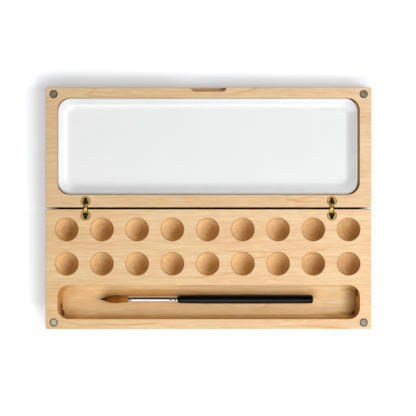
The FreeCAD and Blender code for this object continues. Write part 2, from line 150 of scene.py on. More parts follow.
# layers over a colour: each mixes in its "over" or multiplies by its "tint" in the zone "where"
def layered(tree, read, colour, layers, within=None):
    for layer in layers:
        share = zone(tree, read, layer["where"])
        if "orWhere" in layer:
            share = sums(tree, "MAXIMUM", share, zone(tree, read, layer["orWhere"]))
        if within is not None:
            share = product(tree, share, within)
        if "over" in layer:
            colour = blendColour(tree, share, colour, layer["over"])
        else:
            colour = tinted(tree, share, colour, layer["tint"])
    return colour


def bump(tree, shader, height, depth, strength):
    node = tree.nodes.new("ShaderNodeBump")
    node.inputs["Distance"].default_value = depth
    node.inputs["Strength"].default_value = strength
    tree.links.new(height, node.inputs["Height"])
    tree.links.new(node.outputs["Normal"], shader.inputs["Normal"])


# a pale table, a large soft lamp on the right, a weaker one in front, and a pale room
room = {
    "tableSize": 3.0,
    "tableSeen": (0.72, 0.745, 0.778),  # what the camera and the metal see, with some glow of its own
    "tableGlow": 0.27,
    "tableGives": (0.80, 0.80, 0.80),   # what the table throws back on to the wood
    "underGap": (0.02, 0.02, 0.02),     # painted shadow: the table straight under the slit between the leaves, near black
    "boxHalf": (0.163, 0.1235),
    "ceiling": 0.39,
    "horizon": 0.29,
    "metalBright": 1.10,                # polished metal, lacquer and glaze see a bright panel in a dark room
    "metalDark": 0.03,
    "panelTowards": (0.0, -0.643, 0.766),
    "panelEdges": (0.82, 0.93),
}
slitZone = (("sizeY", 0.0022, 0.0012), ("sizeX", 0.163, 0.150))
# painted light on the table: a further glow that keeps the shadow close to the box and off the near left
# corner, and painted shade along the far side, where the glow is less
glowZones = {
    "left": (("x", -0.140, -0.175, 0.0, 0.07),),
    "outside": (("away", 0.0065, 0.0175, 0.0, 0.14),),
    "nearLeft": (("x", -0.155, -0.163), ("y", -0.092, -0.107, 0.0, 0.17)),
    "farSide": (("y", 0.115, 0.121, 0.0, -0.06), ("away", 0.016, 0.006)),
}
lamps = {
    "rightLamp": {"place": (0.90, -0.13, 0.78), "size": 0.62, "watts": 12.1},
    "frontLamp": {"place": (0.10, -0.90, 0.72), "size": 0.75, "watts": 6.2},
}


def makeTable():
    shape = bmesh.new()
    bmesh.ops.create_grid(shape, x_segments=1, y_segments=1, size=room["tableSize"] / 2)
    mesh = bpy.data.meshes.new("table")
    shape.to_mesh(mesh)
    shape.free()
    table = bpy.data.objects.new("table", mesh)
    bpy.context.scene.collection.objects.link(table)
    material = bpy.data.materials.new("tableTop")
    material.use_nodes = True
    tree = material.node_tree
    nodes, links = tree.nodes, tree.links
    nodes.clear()
    read = places(tree)
    outX = less(tree, read["sizeX"], room["boxHalf"][0])
    outY = less(tree, read["sizeY"], room["boxHalf"][1])
    read["away"] = sums(tree, "MAXIMUM", outX, outY)
    # painted shadow on the table under the slit between the leaves
    slit = zone(tree, read, slitZone)
    strength = total(tree, room["tableGlow"], *[zone(tree, read, limits) for limits in glowZones.values()])
    lit = nodes.new("ShaderNodeBsdfDiffuse")
    links.new(blendColour(tree, slit, room["tableSeen"], room["underGap"]), lit.inputs["Color"])
    glow = nodes.new("ShaderNodeEmission")
    links.new(product(tree, less(tree, 1.0, slit), strength), glow.inputs["Strength"])
    seen = nodes.new("ShaderNodeAddShader")
    links.new(lit.outputs[0], seen.inputs[0])
    links.new(glow.outputs[0], seen.inputs[1])
    gives = nodes.new("ShaderNodeBsdfDiffuse")
    links.new(blendColour(tree, slit, room["tableGives"], room["underGap"]), gives.inputs["Color"])
    path = nodes.new("ShaderNodeLightPath")
    either = sums(tree, "MAXIMUM", path.outputs["Is Camera Ray"], path.outputs["Is Glossy Ray"])
    mix = nodes.new("ShaderNodeMixShader")
    links.new(either, mix.inputs[0])
    links.new(gives.outputs[0], mix.inputs[1])
    links.new(seen.outputs[0], mix.inputs[2])
    out = nodes.new("ShaderNodeOutputMaterial")
    links.new(mix.outputs[0], out.inputs["Surface"])
    mesh.materials.append(material)


def makeLamps():
    for name, lampSet in lamps.items():
        place = Vector(lampSet["place"])
        data = bpy.data.lights.new(name, "AREA")
        data.shape = "SQUARE"
        data.size = lampSet["size"]
        data.energy = lampSet["watts"]
        lamp = bpy.data.objects.new(name, data)
        lamp.visible_glossy = False
        lamp.location = place
        lamp.rotation_euler = place.to_track_quat("Z", "Y").to_euler()
        bpy.context.scene.collection.objects.link(lamp)


def makeRoom():
    world = bpy.data.worlds.new("paleRoom")
    world.use_nodes = True
    tree = world.node_tree
    place = tree.nodes.new("ShaderNodeTexCoord")
    split = tree.nodes.new("ShaderNodeSeparateXYZ")
    tree.links.new(place.outputs["Generated"], split.inputs[0])
    plain = band(tree, split.outputs["Z"], 0, 1, room["horizon"], room["ceiling"], smooth=False)
    towards = [product(tree, split.outputs[k], room["panelTowards"][k]) for k in range(3)]
    gloss = band(tree, total(tree, *towards), *room["panelEdges"], room["metalDark"], room["metalBright"])
    isGloss = tree.nodes.new("ShaderNodeLightPath").outputs["Is Glossy Ray"]
    strength = total(tree, product(tree, isGloss, gloss), product(tree, less(tree, 1.0, isGloss), plain))
    tree.links.new(strength, tree.nodes["Background"].inputs["Strength"])
    tree.nodes["Background"].inputs["Color"].default_value = (1, 1, 1, 1)
    bpy.context.scene.world = world


# straight down, from high up
eye = {
    "height": 2.2,
    "faceHeight": 0.019,
    "middle": (-0.00065, 0.0003),
    "frameWidth": 0.416,        # what the camera sees at the height of the face
    "sensor": 36,
}


def makeCamera():
    data = bpy.data.cameras.new("overhead")
    data.sensor_width = eye["sensor"]
    data.lens = eye["sensor"] * (eye["height"] - eye["faceHeight"]) / eye["frameWidth"]
    data.clip_start, data.clip_end = 0.1, 10
    camera = bpy.data.objects.new("overhead", data)
    camera.location = (*eye["middle"], eye["height"])
    bpy.context.scene.collection.objects.link(camera)
    bpy.context.scene.camera = camera


makeTable()
makeLamps()
makeRoom()
makeCamera()
print("table, lamps, room and camera placed")

maple = {
    "pale": (0.800, 0.585, 0.355),
    "warm": (0.735, 0.500, 0.275),
    "light": (0.870, 0.680, 0.450),
    "flame": (0.560, 0.290, 0.110),
    "vein": (0.640, 0.300, 0.085),
    "rosy": (1.00, 0.960, 0.955),
    "yellowish": (0.985, 1.00, 1.00),
    "cut": (0.640, 0.390, 0.170),       # the wood cut across its grain in wells and trough
    "endGrain": (0.400, 0.205, 0.070),
    "burn": (0.078, 0.027, 0.007),
    "troughTint": (0.98, 0.975, 0.95),
    "awayShade": (0.95, 0.74, 0.42),     # painted shade on walls that turn away from the lamps
    "towardsLamps": (0.80, -0.50),
    "treeMiddle": (-0.165, -0.030),     # y and z of the heart of the tree, below the board
    "ringsPerMetre": 150.0,
    "ringWander": 4.5,
    "face": 0.019,
    "roughness": (0.42, 0.56),
    "specular": 0.38,
    "bump": (0.00012, 0.7),
}
# cycles per metre, detail, roughness, start, and how far the board's own shift moves it
mapleGrain = {
    "wander": ((4.5, 15, 15), 3.0, 0.50, (0, 3.1, 0), (37, 0, 0)),
    "some": ((9, 30, 30), 2.0, 0.50, (1.7, 0, 0), (0, 50, 0)),
    "broad": ((4, 34, 34), 3.0, 0.55, (0, 0, 0), (90, 0, 0)),
    "middle": ((11, 170, 170), 3.0, 0.60, (0, 0, 0), (20, 0, 0)),
    "streak": ((26, 560, 560), 3.0, 0.60, (0, 0, 0), (0, 70, 0)),
    "ripple": ((75, 430, 430), 3.0, 0.60, (0, 0, 2.0), (0, 30, 0)),
    "fleck": ((150, 2300, 2300), 2.0, 0.60, (0, 0, 0), (0, 0, 0)),
    "winding": ((4.5, 30, 30), 1.8, 0.45, (3.3, 0, 0), (0, 11, 0)),
    "veined": ((10, 16, 16), 2.0, 0.50, (0, 9.0, 0), (5, 0, 0)),
    "patch": ((16, 60, 60), 3.0, 0.60, (7.0, 0, 0), (0, 3, 0)),
}
mapleLayers = (
    {"over": maple["warm"], "where": (("broad", 0.32, 0.68),)},
    {"over": maple["warm"], "where": (("ring", 0.0, 1.0, 0.0, 0.14, False),)},
    {"over": maple["warm"], "where": (("middle", 0.48, 0.72, 0.0, 0.55),)},
    {"over": maple["flame"], "where": (("streak", 0.50, 0.74, 0.0, 0.26),)},
    {"over": maple["light"], "where": (("streak", 0.50, 0.30, 0.0, 0.30),)},
    {"over": maple["flame"], "where": (("ripple", 0.52, 0.74, 0.0, 0.26),)},
    {"over": maple["light"], "where": (("ripple", 0.48, 0.28, 0.0, 0.50),)},
    {"over": maple["flame"], "where": (("fleck", 0.60, 0.82, 0.0, 0.30),)},
    # late wood at the end of a ring, in some places only
    {"over": maple["vein"],
     "where": (("ring", 0.86, 0.97, 0.0, 0.50), ("ring", 1.0, 0.985), ("some", 0.52, 0.66))},
    # thin wandering veins, which stop at the sawn ends
    {"over": maple["vein"],
     "where": (("vein", 0.012, 0.002, 0.0, 0.55), ("veined", 0.44, 0.60), ("sizeX", 0.1630, 0.1626))},
)
# painted shade on the hinge side's wall, in the slit between the leaves, darkest at its upper edge
gapShadeLayers = (
    {"tint": (0.50, 0.40, 0.29), "where": (("sizeY", 0.00135, 0.00085),)},
    {"tint": (0.22, 0.15, 0.08), "where": (("sizeY", 0.00135, 0.00085), ("z", 0.0184, 0.0189))},
)
boards = {
    "base": {
        "finish": "mapleBase",
        "shift": 0.0,
        "hollows": (-0.1535, 0.1535, -0.1125, -0.0085),     # left, right, near and far ends
        "lightFallTints": ((1.00, 0.97, 0.88), (0.985, 0.995, 1.03)),
    },
    "lid": {
        "finish": "mapleLid",
        "shift": 0.128,
        "hollows": (-0.1525, 0.1525, 0.0115, 0.1120),
        "lightFallTints": ((0.955, 0.945, 0.90), (0.94, 0.945, 0.985)),
    },
}


# maple with its heart below the board: flames on the face, rings on the ends
def mapleColour(tree, read, shift):
    for name, (stretch, detail, rough, start, moved) in mapleGrain.items():
        begin = tuple(a + b * shift for a, b in zip(start, moved))
        read[name] = grain(tree, stretch, detail, rough, begin)
    side = less(tree, read["y"], maple["treeMiddle"][0] + shift)
    down = less(tree, read["z"], maple["treeMiddle"][1])
    rings = product(tree, distance(tree, side, down), maple["ringsPerMetre"])
    read["ring"] = sums(tree, "FRACT", total(tree, rings, product(tree, read["wander"], maple["ringWander"])))
    read["vein"] = sizeOf(tree, less(tree, read["winding"], 0.5))
    colour = layered(tree, read, maple["pale"], mapleLayers)
    share = band(tree, read["patch"], 0.36, 0.64, smooth=False)
    return tinted(tree, 1.0, colour, blendColour(tree, share, maple["rosy"], maple["yellowish"]))


wells = {
    "firstX": -0.14196,
    "step": 0.03524,
    "nearY": -0.0212,
    "farY": -0.0555,
    "edge": (0.0124, 0.0119),
    "ringsPerMetre": 3000.0,    # as an angle
    "ringWander": 9.0,
    "ringBump": 0.55,
    "strength": 0.85,
}
wellLayers = (
    {"tint": (0.87, 0.80, 0.72), "where": (("z", 0.0150, 0.0098),)},    # painted shade at the bottom
    {"tint": (0.84, 0.77, 0.70), "where": (("x", 0.02, 0.14),)},        # wells on the right
)
wellRim = (
    {"over": maple["endGrain"], "where": (("out", 0.0107, 0.0114, 0.0, 0.62), ("out", 0.0122, 0.0118))},
)


# turned bowls: end grain, and fine rings that the cutter leaves, clearer in some wells than in others
def wellWood(tree, read, inside, colour):
    column = less(tree, read["x"], wells["firstX"] - wells["step"] / 2)
    column = sums(tree, "FRACT", sums(tree, "DIVIDE", column, wells["step"]))
    dx = product(tree, less(tree, column, 0.5), wells["step"])
    middle = (wells["nearY"] + wells["farY"]) / 2
    dy = less(tree, sizeOf(tree, less(tree, read["y"], middle)), (wells["nearY"] - wells["farY"]) / 2)
    read["out"] = distance(tree, dx, dy)
    inWell = product(tree, inside, band(tree, read["out"], *wells["edge"]))
    uneven = product(tree, grain(tree, (45, 45, 200), 2.0), wells["ringWander"])
    marks = sums(tree, "SINE", total(tree, product(tree, read["out"], wells["ringsPerMetre"]), uneven))
    marks = band(tree, marks, -1, 1, smooth=False)
    rough = grain(tree, even(330), 3.0)
    clear = band(tree, grain(tree, even(31), 1.0, start=(5.0, 2.0, 0)), 0.42, 0.60, 0.5, 1.9)
    bowl = blendColour(tree, band(tree, rough, 0.3, 0.75, 0.35, 0.95), maple["warm"], maple["cut"])
    shown = product(tree, clear, marks, band(tree, rough, 0.35, 0.65, 0.04, 0.34))
    bowl = blendColour(tree, shown, bowl, maple["endGrain"])
    colour = blendColour(tree, product(tree, inWell, wells["strength"]), colour, bowl)
    colour = layered(tree, read, colour, wellLayers, inWell)
    colour = layered(tree, read, colour, wellRim)
    return colour, inWell, product(tree, inWell, marks, wells["ringBump"])


trough = {
    "halfLong": 0.15125,
    "middleY": -0.09385,
    "halfWide": 0.01705,
    "corner": 0.011,
    "ends": (0.1385, 0.1462),
    "right": (0.1280, 0.1440),
    "seam": (0.20, 0.075, 0.015),   # the line that the cutter leaves where wall meets floor
    "seamAt": 0.0029,
    "seamShift": 0.006,             # it runs a little aslant
    "seamWide": (0.0013, 0.0001),
    "seamEndsWider": 0.0004,
}
troughWall = ("inward", 0.0059, 0.0045)
troughFloor = ("inward", 0.0028, 0.0052)
besideBrush = ("y", -0.0930, -0.0900)
troughLayers = (
    # darker walls, most at the ends: end grain, with painted shade
    {"tint": (0.68, 0.53, 0.35), "where": (troughWall, ("sizeX", *trough["ends"], 0.10, 0.95))},
    # painted light: the walls at the right end brighter and more orange
    {"tint": (1.42, 1.28, 0.72), "where": (troughWall, ("x", *trough["right"]))},
    # painted shade on the far and the front wall near the right end
    {"tint": (0.68, 0.65, 0.58), "where": (troughWall, ("y", -0.0870, -0.0810), ("x", 0.1290, 0.1400))},
    {"tint": (0.80, 0.73, 0.56), "where": (("y", -0.1030, -0.1070), ("x", 0.105, 0.130))},
    # painted shade: the floor darkens towards both ends, most on the right
    {"tint": (0.86, 0.79, 0.68), "where": (("inward", 0.0140, 0.0060), ("x", -0.130, -0.138))},
    {"tint": (0.60, 0.445, 0.26), "where": (troughFloor, ("x", 0.1305, 0.1445)),
     "orWhere": (troughFloor, ("y", -0.0985, -0.1070, 0.0, 0.85), ("x", 0.1250, 0.1380))},
    {"tint": (0.90, 0.95, 0.97), "where": (("x", 0.1000, 0.1300),)},
    # less light reaches the floor behind the handle, and behind ferrule and hair
    {"tint": (0.80, 0.71, 0.60),
     "where": (besideBrush, ("y", -0.0795, -0.0850), ("x", -0.045, -0.025), ("x", 0.112, 0.104))},
    {"tint": (0.81, 0.66, 0.44),
     "where": (besideBrush, ("y", -0.0775, -0.0855), ("x", -0.113, -0.098), ("x", -0.026, -0.042))},
)
# router burns: middle of each in x, y and z, and half its size along each
burnMarks = (
    ((-0.1480, -0.0980, 0.0100), (0.0013, 0.0062, 0.0028)),
    ((-0.1462, -0.1045, 0.0100), (0.0022, 0.0040, 0.0028)),
    ((0.1483, -0.0850, 0.0100), (0.0014, 0.0058, 0.0028)),
    ((0.1452, -0.1045, 0.0100), (0.0022, 0.0026, 0.0028)),
)
burnEdge = {"strength": 0.94, "ragged": 1.1, "limits": (1.70, 1.15)}


def troughWood(tree, read, inTrough, colour):
    # how far in from the trough's outline
    ax = less(tree, read["sizeX"], trough["halfLong"] - trough["corner"])
    fromMiddle = less(tree, read["y"], trough["middleY"])
    ay = less(tree, sizeOf(tree, fromMiddle), trough["halfWide"] - trough["corner"])
    corner = distance(tree, sums(tree, "MAXIMUM", ax, 0.0), sums(tree, "MAXIMUM", ay, 0.0))
    flat = sums(tree, "MINIMUM", sums(tree, "MAXIMUM", ax, ay), 0.0)
    read["inward"] = less(tree, trough["corner"], total(tree, corner, flat))
    colour = layered(tree, read, colour, troughLayers, inTrough)
    # the seam, uneven, and darker at the ends and along the front; the extra darkness at the right end is
    # painted shade
    atEnds = band(tree, read["sizeX"], *trough["ends"])
    atRight = band(tree, read["x"], *trough["right"])
    seamAt = total(tree, product(tree, read["x"], trough["seamShift"]), trough["seamAt"])
    off = sizeOf(tree, less(tree, read["inward"], seamAt))
    off = less(tree, off, product(tree, atEnds, trough["seamEndsWider"]))
    seam = product(tree, band(tree, off, *trough["seamWide"]), inTrough)
    waver = band(tree, grain(tree, even(60), 3.0, 0.6, start=(0, 5.0, 0)), 0.35, 0.70, 0.05, 0.36)
    dark = total(tree, product(tree, atEnds, 0.08), product(tree, atRight, 0.26), waver)
    dark = product(tree, dark, band(tree, fromMiddle, 0.0145, 0.0120, 0.15, 1.0))
    colour = blendColour(tree, sums(tree, "MULTIPLY", seam, dark, clamp=True), colour, trough["seam"])
    scorch = product(tree, grain(tree, even(420), 4.0, 0.65), burnEdge["ragged"])
    for middle, halfSize in burnMarks:
        parts = [sums(tree, "DIVIDE", less(tree, read[k], m), h) for k, m, h in zip("xyz", middle, halfSize)]
        burnt = band(tree, total(tree, distance(tree, *parts), scorch), *burnEdge["limits"])
        colour = blendColour(tree, product(tree, burnt, burnEdge["strength"]), colour, maple["burn"])
    return colour


pocket = {"cutShare": 0.45}
# painted light: the pocket's wood at the right end, bright orange beside the tray
pocketLightLayers = ({"over": (1.00, 0.700, 0.380), "where": (("x", 0.140, 0.146),)},)
# painted shade in the finger notch on the lid's face
notchShadeZone = (("y", 0.1155, 0.1165), ("sizeX", 0.0195, 0.0190), ("z", 0.0188, 0.0182), ("y", 0.12085, 0.12075))
notchShadeLayers = ({"tint": (0.89, 0.81, 0.64), "where": notchShadeZone},)


def finishBoard(which):
    board = boards[which]
    material, tree, shader = newFinish(board["finish"])
    read = places(tree)
    colour = mapleColour(tree, read, board["shift"])
    # only the hollows: below the face, above the underside and away from the outer walls
    left, right, near, far = board["hollows"]
    inside = zone(tree, read, (
        ("z", maple["face"] - 0.0003, maple["face"] - 0.0016), ("z", 0.0040, 0.0050),
        ("x", left - 0.001, left), ("x", right + 0.001, right),
        ("y", near - 0.001, near), ("y", far + 0.001, far)))
    high = total(tree, product(tree, read["streak"], 0.6), product(tree, read["fleck"], 0.4))
    if which == "base":
        colour, inWell, ringed = wellWood(tree, read, inside, colour)
        high = total(tree, high, ringed)
        inTrough = sums(tree, "SUBTRACT", inside, inWell, clamp=True)
        colour = tinted(tree, inTrough, colour, maple["troughTint"])
        # painted shade on the hollows' walls that turn away from the lamps
        facing = tree.nodes.new("ShaderNodeSeparateXYZ")
        look = tree.nodes.new("ShaderNodeNewGeometry")
        tree.links.new(look.outputs["Normal"], facing.inputs[0])
        turned = [product(tree, facing.outputs[k], maple["towardsLamps"][k]) for k in range(2)]
        away = product(tree, inside, band(tree, total(tree, *turned), 0.20, -0.45))
        colour = tinted(tree, away, colour, maple["awayShade"])
        colour = troughWood(tree, read, inTrough, colour)
    else:
        colour = blendColour(tree, product(tree, inside, pocket["cutShare"]), colour, maple["cut"])
        # painted light at the pocket's right end
        colour = layered(tree, read, colour, pocketLightLayers, inside)
        # painted shade in the finger notch
        colour = layered(tree, read, colour, notchShadeLayers)
    # painted light: warmer towards the left end, cooler towards the right end; the lid's lower tone is its
    # board's own
    along = band(tree, read["x"], -0.15, 0.15, smooth=False)
    colour = tinted(tree, 1.0, colour, blendColour(tree, along, *board["lightFallTints"]))
    # painted shade in the slit between the leaves
    colour = layered(tree, read, colour, gapShadeLayers)
    feed(tree, shader.inputs["Base Color"], colour)
    feed(tree, shader.inputs["Roughness"], band(tree, read["fleck"], 0.3, 0.8, *maple["roughness"]))
    shader.inputs["Specular IOR Level"].default_value = maple["specular"]
    bump(tree, shader, high, *maple["bump"])
    return material


def dress(node, material):
    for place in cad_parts[node].material_slots:
        place.material = material


dress("base_block", finishBoard("base"))
dress("lid_block", finishBoard("lid"))
print("maple boards finished")

glaze = {
    "white": (0.943, 0.953, 0.951),
    "shaded": (0.780, 0.790, 0.788),
    "cloud": (0.985, 0.988, 0.990),
    "roughness": (0.10, 0.15),
    "depth": 0.45,
    "reach": 0.006,
    "coat": 0.35,
    "coatRoughness": 0.04,
    "bump": (0.00035, 0.25),
}
glazeWall = ("z", 0.0122, 0.0145)
glazeRim = ("z", 0.0170, 0.0174)
glazeLayers = (
    # painted light: the walls and rim lighter than the floor
    {"over": (0.985, 0.990, 0.995), "where": (("z", 0.0116, 0.0135),)},
    # painted shade: the left and far walls, and the far wall's foot, which the lamps reach straight, made
    # darker
    {"over": (0.83, 0.845, 0.855), "where": (glazeWall, ("x", -0.139, -0.145)),
     "orWhere": (glazeWall, ("y", 0.099, 0.106))},
    {"tint": (0.915, 0.925, 0.93), "where": (("y", 0.0970, 0.1012), ("y", 0.1070, 0.1045, 0.4, 1.0))},
    # painted shadow on the rim on the right and along the hinge side
    {"over": (0.64, 0.64, 0.65), "where": (glazeRim, ("x", 0.140, 0.147)),
     "orWhere": (glazeRim, ("y", 0.030, 0.018))},
)


def finishTray():
    material, tree, shader = newFinish("whiteGlaze")
    read = places(tree)
    # painted shade: the floor darker towards the right end
    along = band(tree, read["x"], -0.12, 0.15, smooth=False)
    colour = blendColour(tree, along, glaze["white"], glaze["shaded"])
    colour = layered(tree, read, colour, glazeLayers)
    colour = tinted(tree, band(tree, grain(tree, even(24), 3.0), 0.35, 0.70), colour, glaze["cloud"])
    feed(tree, shader.inputs["Base Color"], colour)
    smear = grain(tree, even(130), 3.0)
    feed(tree, shader.inputs["Roughness"], band(tree, smear, 0.3, 0.7, *glaze["roughness"]))
    shader.inputs["Subsurface Weight"].default_value = glaze["depth"]
    shader.inputs["Subsurface Radius"].default_value = (1.0, 1.0, 1.0)
    shader.inputs["Subsurface Scale"].default_value = glaze["reach"]
    shader.inputs["Coat Weight"].default_value = glaze["coat"]
    shader.inputs["Coat Roughness"].default_value = glaze["coatRoughness"]
    bump(tree, shader, grain(tree, even(95), 2.0), *glaze["bump"])
    dress("mixing_tray", material)


finishTray()
print("porcelain tray finished")

brass = {
    "gold": (0.96, 0.66, 0.18),
    "edge": (0.22, 0.12, 0.03),         # painted shade on a barrel's chamfered outer edge
    "slotShade": (0.10, 0.062, 0.020),
    "middle": (0.1232, 0.0072),         # a barrel's middle, in x and y without their signs
    "rim": 0.0044,
    "shine": 0.55,
    "barrelRoughness": 0.20,
    "linkRoughness": 0.26,
    "barrelDark": 0.0186,               # a barrel is painted near black below this height, as shade inside its slot
    "linkDark": 0.0144,                 # and a lever below this one
}
steel = {"grey": (0.50, 0.49, 0.47), "roughness": 0.30, "shine": 1.0}


def finishMetal(name, colour, roughness, shine, darkBelow=None, rim=None):
    material, tree, shader = newFinish(name)
    shader.inputs["Metallic"].default_value = shine
    wear = grain(tree, (900, 900, 160), 3.0, 0.6)
    smear = band(tree, grain(tree, even(260), 3.0, 0.6), 0.35, 0.75, 0.0, 0.8)
    tint = blendColour(tree, smear, colour, tuple(c * 0.72 for c in colour))
    # painted shade: a dark ring on a barrel's outer edge, and near black below darkBelow, inside the slots
    if darkBelow:
        read = places(tree)
        if rim:
            dx = less(tree, read["sizeX"], brass["middle"][0])
            dy = less(tree, read["sizeY"], brass["middle"][1])
            atRim = band(tree, distance(tree, dx, dy), rim - 0.0002, rim + 0.0003, 0.0, 0.60)
            tint = blendColour(tree, atRim, tint, brass["edge"])
        below = band(tree, read["z"], darkBelow, darkBelow - 0.0016, 0.0, 0.92)
        tint = blendColour(tree, below, tint, brass["slotShade"])
    feed(tree, shader.inputs["Base Color"], tint)
    feed(tree, shader.inputs["Roughness"], band(tree, wear, 0.3, 0.75, roughness * 0.75, roughness * 1.5))
    bump(tree, shader, wear, 0.00002, 0.4)
    return material


barrelBrass = finishMetal(
    "barrelBrass", brass["gold"], brass["barrelRoughness"], brass["shine"], brass["barrelDark"], brass["rim"])
linkBrass = finishMetal("linkBrass", brass["gold"], brass["linkRoughness"], brass["shine"], brass["linkDark"])
pinSteel = finishMetal("pinSteel", steel["grey"], steel["roughness"], steel["shine"])
for word in ("left", "right"):
    for half in ("base", "lid"):
        dress(f"{word}_{half}_barrel", barrelBrass)
        dress(f"{word}_{half}_link", linkBrass)
        dress(f"{word}_{half}_pivot_pin", pinSteel)
        dress(f"{word}_{half}_slide_pin", pinSteel)
    dress(f"{word}_centre_pin", pinSteel)

discs = {
    "x": 0.155,
    "y": 0.1142,
    "radius": 0.004,
    # painted shade at a disc's edge, where it meets its seat
    "edge": (0.050, 0.043, 0.032),
    "ringsPerMetre": 9000.0,    # as an angle
    "roughness": (0.34, 0.50),
    "shine": 0.30,
    "bump": (0.00003, 0.5),
}
nickel = {
    "base": {
        "finish": "brightNickel",
        "side": -1,
        "colour": (0.78, 0.73, 0.60),
        "rightTint": (0.63, 0.63, 0.60),
    },
    "lid": {
        "finish": "dullNickel",
        "side": 1,
        "colour": (0.365, 0.330, 0.215),
        "rightTint": (1.06, 1.02, 1.05),
    },
}


# a ground face with fine rings round the middle, and a painted ring of shade at its edge
def finishDisc(which):
    disc = nickel[which]
    material, tree, shader = newFinish(disc["finish"])
    shader.inputs["Metallic"].default_value = discs["shine"]
    read = places(tree)
    dx = less(tree, read["sizeX"], discs["x"])
    dy = less(tree, read["y"], disc["side"] * discs["y"])
    out = distance(tree, dx, dy)
    rings = sums(tree, "SINE", product(tree, out, discs["ringsPerMetre"]))
    blotch = grain(tree, even(620), 3.0, 0.65)
    rim = band(tree, out, discs["radius"] - 0.0012, discs["radius"] - 0.0007, 0.0, 0.92)
    dull = tuple(c * 0.52 for c in disc["colour"])
    tint = blendColour(tree, band(tree, blotch, 0.36, 0.64), disc["colour"], dull)
    tint = tinted(tree, band(tree, read["x"], 0.10, 0.12), tint, disc["rightTint"])
    tint = blendColour(tree, rim, tint, discs["edge"])
    feed(tree, shader.inputs["Base Color"], tint)
    feed(tree, shader.inputs["Roughness"], band(tree, blotch, 0.3, 0.7, *discs["roughness"]))
    bump(tree, shader, total(tree, product(tree, rings, 0.3), blotch), *discs["bump"])
    return material


for half in ("base", "lid"):
    ground = finishDisc(half)
    for word in ("left", "right"):
        dress(f"{half}_magnet_{word}", ground)
print("hinges and magnet discs finished")

# the brush lies along X with its hair to the left
brush = {
    "mouth": (-0.0806, -0.09105, 0.0129),   # middle of the ferrule's mouth
    "hairLength": 0.0286,
    "belly": 0.0040,
    "bellyAt": 0.45,
    "root": 0.00295,
    "strands": 520,
    "strandRadius": 0.00011,
    "ferruleLength": 0.0496,
    "neck": 0.00275,
    "wide": 0.0030,
    "handleLength": 0.1358,
    "handleRadius": 0.0046,
}


# the outline is a row of (distance along the brush, radius) from one end to the other
def turnedPiece(name, outline, steps, material, body, replaced):
    shape = bmesh.new()
    row = [shape.verts.new((x, 0, r)) for x, r in outline]
    edges = [shape.edges.new(pair) for pair in zip(row, row[1:])]
    bmesh.ops.spin(
        shape, geom=row + edges, cent=(0, 0, 0), axis=(1, 0, 0), angle=math.tau, steps=steps, use_merge=True)
    bmesh.ops.remove_doubles(shape, verts=shape.verts, dist=1e-6)
    bmesh.ops.recalc_face_normals(shape, faces=shape.faces)
    bmesh.ops.translate(shape, verts=shape.verts, vec=brush["mouth"])
    mesh = bpy.data.meshes.new(name)
    shape.to_mesh(mesh)
    shape.free()
    mesh.shade_smooth()
    mesh.set_sharp_from_angle(angle=math.radians(50))
    mesh.materials.append(material)
    piece = bpy.data.objects.new(name, mesh)
    bpy.context.scene.collection.objects.link(piece)
    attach(piece, body)
    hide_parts(replaced)
    return piece


# the tuft's radius, from its root at 0 to its tip at 1
def tuftRadius(share):
    if share <= brush["bellyAt"]:
        swell = math.sin(share / brush["bellyAt"] * math.pi / 2)
        return brush["root"] + (brush["belly"] - brush["root"]) * swell
    rest = (share - brush["bellyAt"]) / (1 - brush["bellyAt"])
    return brush["belly"] * (1 - rest ** 1.9) ** 0.92 * (1 - 0.35 * rest ** 2) + 0.00012 * (1 - rest)


hair = {
    "rootTone": (0.360, 0.138, 0.016),
    "bellyTone": (0.225, 0.066, 0.003),
    "tipTone": (0.052, 0.013, 0.002),
    "specular": 0.18,
    "bump": (0.0002, 0.8),
    "plug": (0.0060, 0.0022),       # how deep and how thick the tuft is inside the ferrule
    "tuftShares": (0.001, 0.05, 0.12, 0.2, 0.3, 0.4, 0.5, 0.6, 0.7, 0.78, 0.85, 0.91, 0.96),
    "tuftEnd": 0.985,
    "strandStops": (0.0, 0.15, 0.32, 0.5, 0.68, 0.84, 1.0),
    "seed": 11,
}


def finishHair():
    material, tree, shader = newFinish("brownHair")
    mouth = brush["mouth"][0]
    read = places(tree)
    along = band(tree, read["x"], mouth, mouth - brush["hairLength"], smooth=False)
    hairs = grain(tree, (60, 2600, 2600), 3.0, 0.6)
    tone = blendColour(tree, band(tree, along, 0.02, 0.42), hair["rootTone"], hair["bellyTone"])
    ragged = total(tree, along, product(tree, less(tree, hairs, 0.5), 0.30))
    tone = blendColour(tree, band(tree, ragged, 0.52, 0.90), tone, hair["tipTone"])
    tone = blendColour(tree, band(tree, hairs, 0.45, 0.75, 0.0, 0.55), tone, hair["tipTone"])
    feed(tree, shader.inputs["Base Color"], tone)
    feed(tree, shader.inputs["Roughness"], band(tree, hairs, 0.3, 0.7, 0.36, 0.55))
    shader.inputs["Specular IOR Level"].default_value = hair["specular"]
    bump(tree, shader, hairs, *hair["bump"])
    return material


